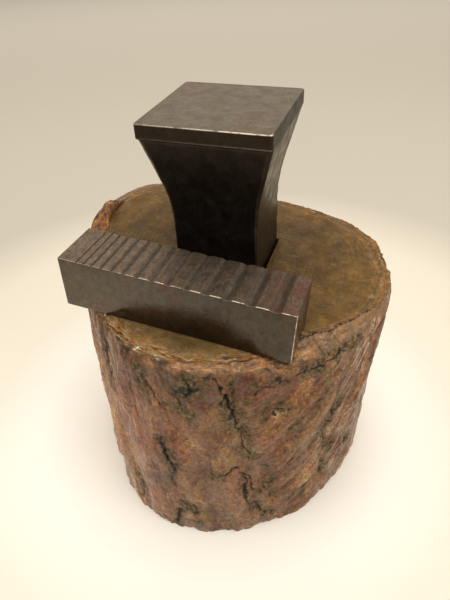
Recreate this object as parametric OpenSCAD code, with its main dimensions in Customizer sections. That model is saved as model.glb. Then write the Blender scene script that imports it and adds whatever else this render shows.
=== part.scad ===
// Stake anvil of a jeweller, standing in a short bark-covered log, with a loose grooved forming bar.
// Millimetres. The origin is on the underside of the log, straight below the anvil's axis.
// +Z is up, +X is right, and the bar lies in front of the anvil, towards -Y.

/* [Anvil] */
// Side of the square working face
face_w = 70; // [62:1:80]
// Thickness of the hardened plate that makes the working face
plate_h = 8; // [5:0.5:12]
// Bevel round the edges of the hardened plate
plate_bevel = 0.7; // [0.3:0.1:1.5]
// Height of the working face above the log's top, at the anvil's axis
anvil_h = 90; // [78:1:110]
// Side of the square shank
shank_w = 48.5; // [40:0.5:52]
// Angle between the flared sides and the shank
flare_angle = 15; // [12:0.5:20]
// Radius of the curve between the flare and the shank
neck_r = 100; // [60:5:125]
// Depth of the bevel down the corners of the flare, under the plate
corner_cut = 1.4; // [0.5:0.1:3]

/* [Tang and mortise] */
// Depth of the square mortise in the log's top, at the anvil's axis
mortise_d = 35; // [20:1:50]
// Gap between the shank and each wall of the mortise
mortise_gap = 1; // [0.4:0.1:2]
// Side of the tang where it leaves the shank
tang_w = 22; // [14:1:30]
// Side of the tang at its tip
tang_tip_w = 10; // [5:1:13]
// Length of the tang below the shank
tang_l = 65; // [30:1:75]
// Gap between the tang and its pilot hole
tang_gap = 0.4; // [0.3:0.1:1]

/* [Log] */
// Width of the log over its bark, left to right
log_w = 204; // [180:1:240]
// Depth of the log over its bark, front to back
log_d = 180; // [164:1:220]
// Height of the log's top above the floor, at the anvil's axis
log_h = 150; // [125:1:200]
// Slope of the log's sawn top, which falls towards the right
top_slope = 3.5; // [0:0.5:6]
// How far the anvil stands to the right of the middle of the log
anvil_right = 2; // [-8:0.5:8]
// How far the anvil stands behind the middle of the log
anvil_back = 13; // [4:0.5:16]
// How far the log leans to the right between its foot and its top
lean_right = 5; // [-8:0.5:8]
// How far the log leans to the back between its foot and its top
lean_back = 5; // [-8:0.5:8]

/* [Bark] */
// Mean thickness of the bark
bark_t = 9; // [7:0.5:12]
// Gap between the wood and the bark plates
bark_gap = 0.5; // [0.4:0.1:0.8]
// Width of the furrows between the bark plates
furrow_w = 1.8; // [1:0.1:3]
// Width of the strip in which a furrow wanders
wander_w = 8; // [0:0.5:12]
// Depth of the valleys between the ridges that run down the bark
ridge_d = 2.2; // [0:0.1:3]
// Depth of the pits in the bark
pit_d = 2.2; // [0:0.1:3]
// Rounding of the bark plates towards their furrows
bark_round_d = 1.5; // [0:0.1:3]
// How far the worn upper edge of the bark slopes down where the bark has its mean thickness
worn_h = 4; // [1:0.5:5]
// Height of the lump of rough bark on the left of the rim
lump_h = 4; // [0:0.5:6]

/* [Forming bar] */
// Length of the bar
bar_l = 125; // [100:1:150]
// Width of the bar, front to back
bar_w = 30.5; // [24:0.5:36]
// Height of the bar
bar_h = 30.5; // [20:0.5:40]
// Bevel along the edges of the bar
bar_bevel = 0.5; // [0.2:0.1:1]
// How far the middle of the bar lies to the left of the anvil's axis
bar_left = 4.5; // [-6:0.5:10]
// Gap between the bar and the working face, seen from above
bar_gap = 13.5; // [10:0.5:17]
// Turn of the bar on the log's top, with its right end towards the front
bar_turn = 1.4; // [-3:0.2:5]
// Gap under the bar, which rests on the high spots of the log's top
bar_seat_gap = 0.1; // [0.05:0.05:0.3]
// Number of grooves across the top of the bar
groove_n = 14; // [6:1:16]
// Distance from the left end of the bar to the first groove
groove_left = 11; // [6:0.5:16]
// Distance from the last groove to the right end of the bar
groove_right = 10.5; // [6:0.5:16]
// Share by which the last spacing of the grooves is wider than the first
groove_spread = 3.1; // [1:0.1:4]
// Width of the first groove, at the left
groove_w_first = 0.8; // [0.5:0.1:1.5]
// Width of the last groove, at the right
groove_w_last = 5.8; // [2:0.1:7]
// Depth of the first groove
groove_d_first = 0.35; // [0.2:0.05:0.7]
// Depth of the last groove
groove_d_last = 0.95; // [0.4:0.05:2]

/* [Hidden] */
$fn = 48;

// Working height of each level of the anvil
face_z = log_h + anvil_h;
flare_top_z = face_z - plate_h;
shoulder_z = log_h - mortise_d;
tang_z = shoulder_z - tang_l;

// Half-widths of the flare and the shank, and where the flare's curve starts and ends
plate_seam = 0.2;
flare_half = face_w / 2 - plate_seam;
shank_half = shank_w / 2;
neck_out = neck_r * (1 - cos(flare_angle));
flare_run = (flare_half - shank_half - neck_out) / tan(flare_angle);
neck_top_z = flare_top_z - flare_run;
neck_foot_z = neck_top_z - neck_r * sin(flare_angle);
neck_steps = 10;

// How far the root of the tang reaches up into the shank
tang_root = 5;

// Middle of the log's top in the anvil's frame
log_x = -anvil_right;
log_y = -anvil_back;

// How far the bark's outside stands from the middle, at even steps round the log from +X,
// as a share of half its width and depth
rim_share = [0.98, 1.05, 1.10, 1.05, 1.02, 1.11, 1.18, 1.04,
             0.92, 0.85, 0.83, 0.93, 0.99, 0.97, 0.94, 0.94];

// Thickness of the bark at the same steps, as a share of its mean thickness
bark_share = [0.45, 0.50, 0.50, 0.50, 0.50, 0.50, 0.55, 1.20,
              1.90, 1.30, 0.65, 0.50, 0.50, 0.95, 1.95, 1.35];

// Each furrow: its angle at the top, and how far round it has moved at the foot
furrows = [[-97, 9], [-71, 20], [-30, 4], [14, -4], [62, 4], [108, -4], [150, 5], [203, -3]];

// How often a furrow wanders to and fro down the log, and how much later each one starts, as angles
wander_turn = 330;
wander_late = 77;

// How far round the grain of each bark plate runs for each millimetre that it falls,
// at the left and the right edge of the plate
grain = [[-0.10, -0.10], [0.90, 0.80], [0.80, 0.65], [0.65, 0.40], [0.40, 0.15], [0.15, 0], [0, 0], [0, -0.10]];

// Broad and narrow ridges round the log, and the angle by which the broad ones weave
ridge_n = 15;
narrow_ridge_n = 26;
ridge_weave = 50;
ridge_weave_n = 3;

// Pits of the bark: angle, distance below the rim, and half-width and half-height
pits = [[-94, 24, 4, 16], [-89, 78, 6, 12], [-70, 14, 5, 12], [-66, 40, 5, 14], [-57, 84, 8, 14],
        [-53, 116, 9, 16], [-56, 30, 12, 6], [-34, 18, 14, 5], [-30, 105, 6, 10], [0, 50, 5, 14],
        [30, 60, 6, 14], [50, 115, 7, 14], [80, 40, 5, 16], [100, 110, 7, 14], [135, 70, 6, 14],
        [175, 50, 5, 16], [190, 115, 7, 14], [225, 60, 6, 16]];

// How sharply a bark plate rounds off towards its furrows
round_power = 6;

// Share of the bark's thickness that its relief and its worn edge may take
relief_share = 0.45;

// Where the lump of rough bark is on the rim, and the angle that it spans to each side
lump_at = 164;
lump_span = 15;

// Mean radius of the log, and the angle by which a furrow wanders to each side
mean_r = (log_w + log_d) / 4;
wander_angle = wander_w / 2 / mean_r * 180 / PI;

core_steps = 96;
plate_columns = 16;
plate_rows = 22;

// Value of a list of even steps round a circle at angle a, on a smooth closed curve
function round_value(list, a) =
    let (n = len(list), t = a / 360 * n, i = floor(t), u = t - i,
         p = [for (j = [-1:2]) list[(i + j + 4 * n) % n]])
    p[1] + u / 2 * (p[2] - p[0]
        + u * (2 * p[0] - 5 * p[1] + 4 * p[2] - p[3] + u * (3 * (p[1] - p[2]) + p[3] - p[0])));

// Height of the log's sawn top above the floor at x
function top_z(x) = log_h - x * tan(top_slope);

// Middle of the log at share t of its height
function log_middle(t) = [log_x - lean_right * (1 - t), log_y - lean_back * (1 - t)];

// Point of the log at angle a and share t of its height, drawn in from the bark's outside by inset
function log_point(a, t, inset, lift = 0) =
    let (m = log_middle(t), s = round_value(rim_share, a),
         x = m[0] + cos(a) * (log_w / 2 * s - inset),
         y = m[1] + sin(a) * (log_d / 2 * s - inset))
    [x, y, t * top_z(x) + lift];

function bark_thickness(a) = bark_t * round_value(bark_share, a);

// Angle of furrow k at share t of the height
function furrow_angle(k, t) =
    let (f = furrows[k % len(furrows)], turn = 360 * floor(k / len(furrows)))
    turn + f[0] + f[1] * (1 - t)
        + wander_angle * sin(wander_turn * t + wander_late * (k % len(furrows))) * (1 - t / 2);

// Smooth bump that is 1 at 0 and ends at 1 to each side
function bump(u) = abs(u) < 1 ? pow(cos(90 * u), 2) : 0;

function lump(a) = bump((a - lump_at) / lump_span);

// Valleys between the ridges, from 0 on a crest to 1, at angle a and share u across plate k
function valley(k, a, u, drop) =
    let (turn = grain[k][0] + (grain[k][1] - grain[k][0]) * u,
         g = a + turn * drop / mean_r * 180 / PI,
         fall = 360 * drop / log_h)
    0.5 + 0.3 * sin(ridge_n * g + ridge_weave * sin(fall + ridge_weave_n * g))
        + 0.2 * sin(narrow_ridge_n * g - fall);

// Depth of the pits, from 0 to 1
function pit(a, drop) = max([for (p = pits)
    bump((a - p[0]) / 180 * PI * mean_r / p[2]) * bump((drop - p[1]) / p[3])]);

// Depth of the bark's relief at share u across plate k
function relief(k, a, u, drop) =
    let (full = ridge_d * valley(k, a, u, drop) + pit_d * pit(a, drop)
             + bark_round_d * pow(abs(2 * u - 1), round_power))
    min(full, relief_share * bark_thickness(a));

function worn(a) = worn_h * bark_thickness(a) / bark_t;

// Side of the anvil: a profile that is symmetric about its axis, drawn in at the corners by cut,
// whose half-widths are multiplied by spread
function flare_side(spread, cut) = concat(
    [[shank_half * spread, shoulder_z]],
    [for (i = [0:neck_steps])
        let (b = flare_angle * i / neck_steps)
        [(shank_half + neck_r * (1 - cos(b))) * spread - cut * i / neck_steps / 2,
         neck_foot_z + neck_r * sin(b)]],
    [[flare_half * spread - cut, flare_top_z]]);

function both_sides(side) = concat(side, [for (i = [len(side) - 1:-1:0]) [-side[i][0], side[i][1]]]);

// Centre of groove k from the left end of the bar: the spacings grow evenly to the right
function groove_x(k) =
    let (n = groove_n - 1, grow = (groove_spread - 1) / (n - 1),
         share = (k + grow * k * (k - 1) / 2) / (n + grow * n * (n - 1) / 2))
    groove_left + (bar_l - groove_left - groove_right) * share;

function groove_width(k) = groove_w_first + (groove_w_last - groove_w_first) * k / (groove_n - 1);

function groove_depth(k) = groove_d_first + (groove_d_last - groove_d_first) * k / (groove_n - 1);

// Upright prism of a profile in the XZ plane, through the anvil's whole depth
module upright(profile, turn = 0) {
    reach = 2 * log_w;
    rotate([0, 0, turn]) rotate([90, 0, 0]) translate([0, 0, -reach / 2])
        linear_extrude(height = reach) polygon(profile);
}

// Square spike that narrows from w at z_top to tip_w at z_tip, with a straight root above z_top
module square_spike(w, tip_w, z_top, z_tip, root = 0) {
    side = [[w / 2, z_top + root], [w / 2, z_top], [tip_w / 2, z_tip]];
    intersection() {
        upright(both_sides(side));
        upright(both_sides(side), 90);
    }
}

// Block with all its edges bevelled, its underside centred on the origin
module bevelled_block(l, w, h, bevel) {
    intersection() {
        translate([0, 0, h / 2]) rotate([90, 0, 0])
            linear_extrude(height = w, center = true) bevelled_square(l, h, bevel);
        translate([0, 0, h / 2]) rotate([90, 0, 90])
            linear_extrude(height = l, center = true) bevelled_square(w, h, bevel);
        linear_extrude(height = h) bevelled_square(l, w, bevel);
    }
}

module bevelled_square(l, w, bevel) {
    x = l / 2;
    y = w / 2;
    polygon([[x, bevel - y], [x, y - bevel], [x - bevel, y], [bevel - x, y],
             [-x, y - bevel], [-x, bevel - y], [bevel - x, -y], [x - bevel, -y]]);
}

// Closed solid of rings of points, all with as many points, capped at both ends by strips
// between the first and the second half of a ring
module ring_solid(rings) {
    m = len(rings[0]);
    n = len(rings);
    points = [for (ring = rings) for (p = ring) p];
    walls = [for (j = [0:n - 2]) for (i = [0:m - 1])
        let (a = j * m + i, b = j * m + (i + 1) % m)
        each [[a, a + m, b + m], [a, b + m, b]]];
    caps = [for (i = [0:m / 2 - 2])
        let (a = i, b = i + 1, c = m - 2 - i, d = m - 1 - i, top = (n - 1) * m)
        each [[a, b, c], [a, c, d], [top + a, top + c, top + b], [top + a, top + d, top + c]]];
    polyhedron(points, concat(walls, caps));
}

// Wood of the log, with the mortise and the pilot hole for the tang
module stump_wood() {
    hole_half = shank_half + mortise_gap;
    through_h = 2 * mortise_d;
    color([0.50, 0.40, 0.26])
    difference() {
        ring_solid([for (t = [0, 1])
            [for (i = [0:core_steps - 1])
                let (a = 360 * i / core_steps)
                log_point(a, t, bark_thickness(a) + bark_gap)]]);
        translate([-hole_half, -hole_half, shoulder_z])
            cube([2 * hole_half, 2 * hole_half, through_h]);
        square_spike(tang_w + 2 * tang_gap, tang_tip_w + 2 * tang_gap, shoulder_z,
            tang_z - tang_gap, tang_root);
    }
}

// Plate of bark between furrow k and the next one
module bark_plate(k) {
    half_gap = furrow_w / log_w * 180 / PI;
    rows = [for (j = [0:plate_rows]) j / plate_rows];
    color([0.42, 0.24, 0.17])
    ring_solid([for (t = rows)
        let (a0 = furrow_angle(k, t) + half_gap, a1 = furrow_angle(k + 1, t) - half_gap,
             top = t == 1 ? 1 : 0)
        concat(
            [for (i = [0:plate_columns])
                let (u = i / plate_columns, a = a0 + (a1 - a0) * u,
                     low = relief(k, a, u, log_h * (1 - t)),
                     drawn_in = top * relief_share * worn(a))
                log_point(a, t, low + drawn_in, top * (lump_h * lump(a) - worn(a)))],
            [for (i = [plate_columns:-1:0])
                let (a = a0 + (a1 - a0) * i / plate_columns)
                log_point(a, t, bark_thickness(a), top * lump_h * lump(a))])]);
}

// Flared body of the anvil with its shank and tang
module anvil_body() {
    side = both_sides(flare_side(1, 0));
    corner = both_sides(flare_side(sqrt(2), corner_cut));
    color([0.16, 0.15, 0.15])
    union() {
        intersection() {
            upright(side);
            upright(side, 90);
            upright(corner, 45);
            upright(corner, -45);
        }
        square_spike(tang_w, tang_tip_w, shoulder_z, tang_z, tang_root);
    }
}

// Hardened plate that carries the working face
module face_plate() {
    color([0.40, 0.37, 0.35])
    translate([0, 0, flare_top_z]) bevelled_block(face_w, face_w, plate_h, plate_bevel);
}

// Loose bar with round-bottomed grooves across its top, narrow at the left and wide at the right
module forming_bar() {
    bar_x = -bar_left;
    bar_y = -face_w / 2 - bar_gap - bar_w / 2;
    color([0.45, 0.41, 0.38])
    translate([bar_x, bar_y, top_z(bar_x) + bar_seat_gap]) rotate([0, top_slope, 0]) rotate([0, 0, -bar_turn])
    difference() {
        bevelled_block(bar_l, bar_w, bar_h, bar_bevel);
        for (k = [0:groove_n - 1]) {
            w = groove_width(k);
            d = groove_depth(k);
            r = (w * w / 4 + d * d) / (2 * d);
            translate([groove_x(k) - bar_l / 2, 0, bar_h + r - d]) rotate([90, 0, 0])
                cylinder(r = r, h = 2 * bar_w, center = true);
        }
    }
}

stump_wood();
bark_plate(0);  // bark_front
bark_plate(1);  // bark_front_right
bark_plate(2);  // bark_right
bark_plate(3);  // bark_back_right
bark_plate(4);  // bark_back
bark_plate(5);  // bark_back_left
bark_plate(6);  // bark_left
bark_plate(7);  // bark_front_left
anvil_body();
face_plate();
forming_bar();
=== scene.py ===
"""Looks of a jeweller's stake anvil on its log: worn steel, varnished end grain and pine bark.

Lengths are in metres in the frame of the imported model: +Z is up, the anvil's axis is at x = y = 0,
the floor is at z = 0, and the loose forming bar lies in front of the anvil, towards -Y.
"""
import math

import bpy
import numpy as np
from mathutils import Matrix, Vector


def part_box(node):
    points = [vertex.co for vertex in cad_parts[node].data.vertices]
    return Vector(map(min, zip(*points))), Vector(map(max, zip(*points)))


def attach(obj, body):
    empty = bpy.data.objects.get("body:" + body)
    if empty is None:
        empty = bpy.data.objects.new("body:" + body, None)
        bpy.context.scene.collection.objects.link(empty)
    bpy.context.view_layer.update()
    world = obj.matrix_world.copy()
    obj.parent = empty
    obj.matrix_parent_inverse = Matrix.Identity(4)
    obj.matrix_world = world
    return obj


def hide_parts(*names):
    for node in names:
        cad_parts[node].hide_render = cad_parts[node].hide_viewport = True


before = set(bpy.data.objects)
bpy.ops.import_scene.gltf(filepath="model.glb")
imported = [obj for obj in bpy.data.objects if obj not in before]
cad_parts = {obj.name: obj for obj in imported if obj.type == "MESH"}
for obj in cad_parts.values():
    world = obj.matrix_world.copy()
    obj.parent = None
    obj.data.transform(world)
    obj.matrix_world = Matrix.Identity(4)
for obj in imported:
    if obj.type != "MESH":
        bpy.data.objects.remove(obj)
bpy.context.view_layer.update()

MM = 0.001

# Camera at the photograph's view: its place, its aim and its focal length in picture heights
CAMERA_PLACE = (0.0888, -0.2512, 0.3268)
CAMERA_AZIMUTH = -20.44
CAMERA_DOWN = 38.98
CAMERA_ROLL = -2.99
CAMERA_FOCAL = 0.8498
SENSOR = 36.0

# Shape of the log, as in the solid model
LOG_W = 204 * MM
LOG_D = 180 * MM
LOG_H = 150 * MM
MEAN_R = (LOG_W + LOG_D) / 4
TOP_SLOPE = math.tan(math.radians(3.5))
LOG_MIDDLE = np.array([-2, -13]) * MM
LOG_LEAN = np.array([5, 5]) * MM
RIM_SHARE = [0.98, 1.05, 1.10, 1.05, 1.02, 1.11, 1.18, 1.04,
             0.92, 0.85, 0.83, 0.93, 0.99, 0.97, 0.94, 0.94]

# Shape of the bark, as in the solid model
BARK_T = 9 * MM
BARK_GAP = 0.5 * MM
BARK_SHARE = [0.45, 0.50, 0.50, 0.50, 0.50, 0.50, 0.55, 1.20,
              1.90, 1.30, 0.65, 0.50, 0.50, 0.95, 1.95, 1.35]
BARK_NODES = ["bark_front", "bark_front_right", "bark_right", "bark_back_right",
              "bark_back", "bark_back_left", "bark_left", "bark_front_left"]
FURROWS = [(-97, 9), (-71, 20), (-30, 4), (14, -4), (62, 4), (108, -4), (150, 5), (203, -3)]
WANDER_W = 8 * MM
WANDER_TURN = 330
WANDER_LATE = 77
GRAIN = [(-0.10, -0.10), (0.90, 0.80), (0.80, 0.65), (0.65, 0.40),
         (0.40, 0.15), (0.15, 0), (0, 0), (0, -0.10)]
RIDGE_D = 2.2
RIDGE_N = 15
NARROW_RIDGE_N = 26
RIDGE_WEAVE = 50
RIDGE_WEAVE_N = 3
PIT_D = 2.2
PITS = [(-94, 24, 4, 16), (-89, 78, 6, 12), (-70, 14, 5, 12), (-66, 40, 5, 14), (-57, 84, 8, 14),
        (-53, 116, 9, 16), (-56, 30, 12, 6), (-34, 18, 14, 5), (-30, 105, 6, 10), (0, 50, 5, 14),
        (30, 60, 6, 14), (50, 115, 7, 14), (80, 40, 5, 16), (100, 110, 7, 14), (135, 70, 6, 14),
        (175, 50, 5, 16), (190, 115, 7, 14), (225, 60, 6, 16)]
ROUND_D = 1.5
ROUND_POWER = 6
RELIEF_SHARE = 0.45
WORN_H = 4 * MM
LUMP_AT = 164
LUMP_SPAN = 15
LUMP_H = 4 * MM

# Shape of the anvil and the bar, as in the solid model
SHANK_HALF = 24.25 * MM
MORTISE_HALF = 25.25 * MM
TANG_HALF = 11 * MM
TANG_TIP_HALF = 5 * MM
TANG_GAP = 0.4 * MM
FLARE_ANGLE = math.radians(15)
NECK_R = 100 * MM
PLATE_SEAM = 0.2 * MM
BAR_L = 125 * MM
BAR_W = 30.5 * MM
BAR_H = 30.5 * MM
BAR_PLACE = (-4.5 * MM, -63.75 * MM)
BAR_TURN = math.radians(-1.4)
BAR_SEAT_GAP = 0.1 * MM
GROOVE_N = 14
GROOVE_LEFT = 11 * MM
GROOVE_RIGHT = 10.5 * MM
GROOVE_SPREAD = 3.1
GROOVE_W = (0.8 * MM, 5.8 * MM)
GROOVE_D = (0.35 * MM, 0.95 * MM)
# Strength of the painted shade in the grooves, divided by each groove's width in millimetres
GROOVE_SHADE_TONE = 1.7

FACE_LOW, FACE_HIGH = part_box("face_plate")
SHOULDER_Z = 115 * MM
TANG_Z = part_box("anvil_body")[0].z


# Noise: every value depends only on a point and a seed
HASH_X, HASH_Y, HASH_Z, HASH_MIX = (np.uint32(v) for v in (374761393, 668265263, 2246822519, 1274126177))
SEED_STEP = 40503
SEED_START = 12345
LARGEST = float(2**32 - 1)


def hashed(cell, seed):
    """Numbers from 0 to 1 for whole-number cells."""
    c = cell.astype(np.int64).astype(np.uint32)
    h = c[..., 0] * HASH_X + c[..., 1] * HASH_Y + c[..., 2] * HASH_Z
    h = h + np.uint32(seed * SEED_STEP + SEED_START)
    h = (h ^ (h >> np.uint32(13))) * HASH_MIX
    h = (h ^ (h >> np.uint32(15))) * HASH_Z
    return (h ^ (h >> np.uint32(16))) / LARGEST


def noise(points, size, seed):
    """Smooth noise from -1 to 1 with features of that size, which may differ along each axis."""
    p = points / np.asarray(size, float)
    cell = np.floor(p)
    u = p - cell
    u = u * u * u * (u * (u * 6 - 15) + 10)
    total = np.zeros(len(p))
    for corner in np.ndindex(2, 2, 2):
        c = np.array(corner)
        share = np.prod(np.where(c == 1, u, 1 - u), axis=1)
        total += share * hashed(cell + c, seed)
    return total * 2 - 1


def fractal(points, size, seed, octaves=4, gain=0.5):
    """Sum of noises, each half as large as the one before."""
    size = np.asarray(size, float)
    total = np.zeros(len(points))
    weight = 1.0
    reach = 0.0
    for i in range(octaves):
        total += weight * noise(points + 17.3 * i, size / 2**i, seed + 31 * i)
        reach += weight
        weight *= gain
    return total / reach


def cells(points, size, seed):
    """Distance to the nearest border between cells, in cell widths, and a number for each cell."""
    p = points / np.asarray(size, float)
    base = np.floor(p)
    near = np.full(len(p), 9.0)
    second = np.full(len(p), 9.0)
    name = np.zeros(len(p))
    for offset in np.ndindex(3, 3, 3):
        c = base + np.array(offset) - 1
        seedpoint = c + np.stack([hashed(c, seed + i) for i in (1, 2, 3)], axis=1)
        d = np.linalg.norm(seedpoint - p, axis=1)
        closer = d < near
        second = np.where(closer, near, np.minimum(second, d))
        name = np.where(closer, hashed(c, seed + 4), name)
        near = np.where(closer, d, near)
    return second - near, name


def smooth(low, high, x):
    t = np.clip((x - low) / (high - low), 0, 1)
    return t * t * (3 - 2 * t)


# Meshes
def mesh_piece(name, points, quads, triangles=(), numbers=None):
    """A mesh object from arrays, smooth shaded, with named numbers on its points."""
    points = np.asarray(points, np.float32)
    quads = np.asarray(quads, np.int32).reshape(-1, 4)
    triangles = np.asarray(triangles, np.int32).reshape(-1, 3)
    mesh = bpy.data.meshes.new(name)
    mesh.vertices.add(len(points))
    mesh.vertices.foreach_set("co", points.ravel())
    corners = np.concatenate([quads.ravel(), triangles.ravel()])
    starts = np.concatenate([np.arange(len(quads)) * 4, 4 * len(quads) + np.arange(len(triangles)) * 3])
    mesh.loops.add(len(corners))
    mesh.loops.foreach_set("vertex_index", corners)
    mesh.polygons.add(len(starts))
    mesh.polygons.foreach_set("loop_start", starts.astype(np.int32))
    mesh.polygons.foreach_set("use_smooth", np.ones(len(starts), bool))
    for key, values in (numbers or {}).items():
        layer = mesh.attributes.new(key, "FLOAT", "POINT")
        layer.data.foreach_set("value", np.asarray(values, np.float32))
    mesh.update(calc_edges=True)
    mesh.validate()
    piece = bpy.data.objects.new(name, mesh)
    bpy.context.scene.collection.objects.link(piece)
    return piece


def grid_quads(rows, columns, closed=False, start=0, flip=False):
    """Quads between the points of a grid that is stored row by row."""
    j, i = np.meshgrid(np.arange(rows - 1), np.arange(columns if closed else columns - 1), indexing="ij")
    a = start + j * columns + i
    b = start + j * columns + (i + 1) % columns
    quads = np.stack([a, b, b + columns, a + columns], axis=-1).reshape(-1, 4)
    return quads[:, ::-1] if flip else quads


def ring_stack(rings):
    """Points, quads and triangles of a closed solid through rings of as many points, from its foot up."""
    rings = np.array(rings)
    rows, columns = rings.shape[:2]
    points = rings.reshape(-1, 3)
    foot = points[:columns].mean(0)
    head = points[-columns:].mean(0)
    i = np.arange(columns)
    n = len(points)
    low = np.stack([(i + 1) % columns, i, np.full(columns, n)], axis=1)
    last = (rows - 1) * columns
    high = np.stack([last + i, last + (i + 1) % columns, np.full(columns, n + 1)], axis=1)
    return np.vstack([points, foot, head]), grid_quads(rows, columns, closed=True), np.vstack([low, high])


def square_ring(half, corner, side_steps, corner_steps, flat=False):
    """Points round a square with cut or rounded corners, anticlockwise, as (x, y)."""
    points = []
    for quarter in range(4):
        turn = quarter * math.pi / 2
        c, s = math.cos(turn), math.sin(turn)
        local = [(half, y) for y in np.linspace(corner - half, half - corner, side_steps + 1)]
        for k in range(1, corner_steps):
            u = k / corner_steps
            if flat:
                local.append((half - corner * u, half - corner * (1 - u)))
            else:
                b = u * math.pi / 2
                local.append((half - corner + corner * math.cos(b), half - corner + corner * math.sin(b)))
        points += [(x * c - y * s, x * s + y * c) for x, y in local]
    return np.array(points)


def dress(piece, node, body, material):
    """Puts a detailed piece in the place of a node of the solid model."""
    piece.data.materials.append(material)
    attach(piece, body)
    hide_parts(node)


# The log's shape
def round_value(values, degrees):
    """Value at an angle on a smooth closed curve through even steps round a circle."""
    v = np.asarray(values, float)
    n = len(v)
    t = np.asarray(degrees, float) / 360 * n
    i = np.floor(t).astype(int)
    u = t - i
    p0, p1, p2, p3 = (v[(i + j) % n] for j in (-1, 0, 1, 2))
    return p1 + u / 2 * (p2 - p0 + u * (2 * p0 - 5 * p1 + 4 * p2 - p3 + u * (3 * (p1 - p2) + p3 - p0)))


def top_z(x):
    return LOG_H - x * TOP_SLOPE


def log_xy(degrees, share, inset):
    """Place on the log at an angle and a share of its height, drawn in from the bark's outside."""
    a = np.radians(degrees)
    s = round_value(RIM_SHARE, degrees)
    x = LOG_MIDDLE[0] - LOG_LEAN[0] * (1 - share) + np.cos(a) * (LOG_W / 2 * s - inset)
    y = LOG_MIDDLE[1] - LOG_LEAN[1] * (1 - share) + np.sin(a) * (LOG_D / 2 * s - inset)
    return x, y


def bark_thickness(degrees):
    return BARK_T * round_value(BARK_SHARE, degrees)


def furrow_angle(k, share):
    n = len(FURROWS)
    at, drift = FURROWS[k % n]
    phase = np.radians(WANDER_TURN * share + WANDER_LATE * (k % n))
    wander = math.degrees(WANDER_W / 2 / MEAN_R) * np.sin(phase)
    return 360 * (k // n) + at + drift * (1 - share) + wander * (1 - share / 2)


def turned(degrees):
    """Angles from 0 to 360 degrees as angles from -180 to 180."""
    return np.where(degrees > 180, degrees - 360, degrees)


def round_place(turn):
    """Places round an even log in millimetres, for noise that follows the angle alone."""
    return np.stack([np.cos(turn), np.sin(turn), turn * 0], axis=1) * MEAN_R / MM


def bump(u):
    """Smooth rise that is 1 at 0 and ends at 1 to each side."""
    return np.cos(np.pi / 2 * np.clip(np.abs(u), 0, 1)) ** 2


def lump(degrees):
    return bump((degrees - LUMP_AT) / LUMP_SPAN)


def worn(degrees):
    return WORN_H * bark_thickness(degrees) / BARK_T


# Bark
# Painted sheen on the two flanks that are seen edge on: where it is full and how far it spreads
SHEEN_RIGHT = -4
SHEEN_LEFT = -122
SHEEN_SPAN = 46
SLANT_AT = 176
SLANT_SPAN = 26
SLANT_H = 8 * MM
BACK_AT = 130
BACK_SPAN = 80
BARK_STEP = 0.7 * MM
RIM_ROWS = 22
FRONT_LINE = 1
WOOD_LAP = 0.2 * MM
INNER_ROWS = 24
INNER_COLUMNS = 12
# Cracks that show in front: points of (angle, millimetres below the rim), then half-width and depth
CRACKS = [
    ([(-98, 12), (-96, 20), (-94, 27), (-91, 34)], 0.9, 2.2),
    ([(-83, 5), (-82, 14), (-84, 20)], 1.1, 2.0),
    ([(-89, 17), (-86, 23), (-84, 32)], 0.8, 1.6),
    ([(-75, 4), (-73, 12), (-71, 19), (-69, 30), (-68, 46)], 1.2, 2.4),
    ([(-68, 42), (-65, 60), (-60, 67)], 0.8, 1.6),
    ([(-74, 88), (-70, 81), (-67, 78)], 1.0, 2.0),
    ([(-66, 84), (-64, 97), (-64, 111), (-62, 125)], 1.2, 2.3),
    ([(-67, 85), (-63, 89), (-61, 106), (-64, 110)], 0.9, 1.8),
    ([(-61, 122), (-54, 140)], 0.9, 1.6),
    ([(-92, 61), (-93, 72), (-91, 79), (-89, 84)], 0.8, 1.8),
    ([(-107, 121), (-104, 136)], 0.6, 1.2),
    ([(-86, 122), (-81, 134)], 0.8, 1.4),
    ([(-117, 6), (-118, 26), (-117, 44)], 0.8, 1.6),
    ([(-64, 15), (-59, 10), (-54, 7), (-48, 6), (-40, 6), (-32, 4), (-24, 4)], 1.0, 2.4),
    ([(-57, 35), (-53, 31)], 0.6, 1.2),
    ([(-55, 102), (-52, 97)], 0.6, 1.2),
    ([(-33, 93), (-24, 90)], 0.6, 1.2),
    ([(-15, 102), (-13, 110)], 0.7, 1.2),
    ([(-46, 127), (-37, 120), (-28, 114)], 0.6, 1.2),
    ([(-36, 30), (-42, 42), (-47, 52)], 0.5, 1.0),
    ([(-24, 52), (-32, 68)], 0.5, 1.0),
    ([(-12, 34), (-16, 46), (-20, 56)], 0.6, 1.2),
]


def grain_angle(k, degrees, u, drop):
    """Where the strand of grain through a place meets the rim, in radians."""
    first, last = GRAIN[k]
    return np.radians(degrees) + (first + (last - first) * u) * drop / MEAN_R


def nearest_line(k, u):
    """The furrow that is nearer at a share u of the way across plate k."""
    return np.where(u < 0.5, k, (k + 1) % len(FURROWS))


def solid_relief(k, degrees, u, drop):
    """Depth of the solid bark plate's own relief in millimetres, and the strength of its pits."""
    g = grain_angle(k, degrees, u, drop)
    fall = 2 * math.pi * drop / LOG_H
    weave = math.radians(RIDGE_WEAVE) * np.sin(fall + RIDGE_WEAVE_N * g)
    valley = 0.5 + 0.3 * np.sin(RIDGE_N * g + weave) + 0.2 * np.sin(NARROW_RIDGE_N * g - fall)
    pit = np.zeros(len(degrees))
    for at, low, half_w, half_h in PITS:
        across = np.radians(degrees - at) * MEAN_R / MM / half_w
        pit = np.maximum(pit, bump(across) * bump((drop / MM - low) / half_h))
    full = RIDGE_D * valley + PIT_D * pit + ROUND_D * np.abs(2 * u - 1) ** ROUND_POWER
    return np.minimum(full, RELIEF_SHARE * bark_thickness(degrees) / MM), pit


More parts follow.
